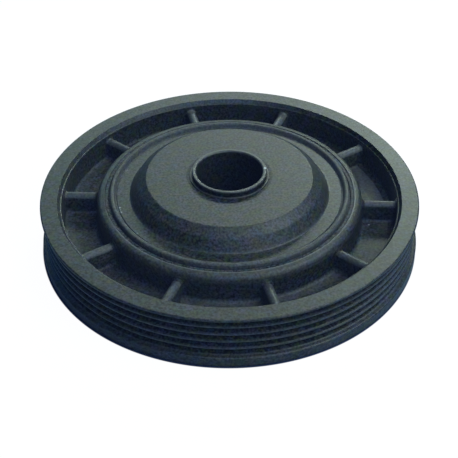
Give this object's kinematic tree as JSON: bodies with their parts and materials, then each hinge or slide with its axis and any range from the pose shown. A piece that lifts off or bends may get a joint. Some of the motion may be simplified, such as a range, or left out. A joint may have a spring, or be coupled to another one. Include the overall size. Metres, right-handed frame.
{
  "type": "crankshaft pulley",
  "caption": "Ribbed-belt crankshaft pulley with a torsional damper: cast grooved rim with radial ribs, rubber ring, domed hub disc and turned centre sleeve.",
  "frame": {"origin": "on the pulley's axis, in the plane of the belt rim's back face", "axes": "+Z along the axis towards the front side, +X through the middle of a rib"},
  "size_m": [0.1572, 0.1572, 0.0336],
  "materials": {
    "pulley_ring": "satin black paint over grey iron casting",
    "rubber_ring": "dark rubber, overpainted where it shows",
    "hub_disc": "satin black paint over pressed steel",
    "centre_sleeve": "satin black paint over turned steel, worn brighter at the lip"
  },
  "bodies": {
    "root": {"pulley_ring": "pulley_ring", "rubber_ring": "rubber_ring", "hub_disc": "hub_disc", "centre_sleeve": "centre_sleeve"}
  },
  "joints": []
}
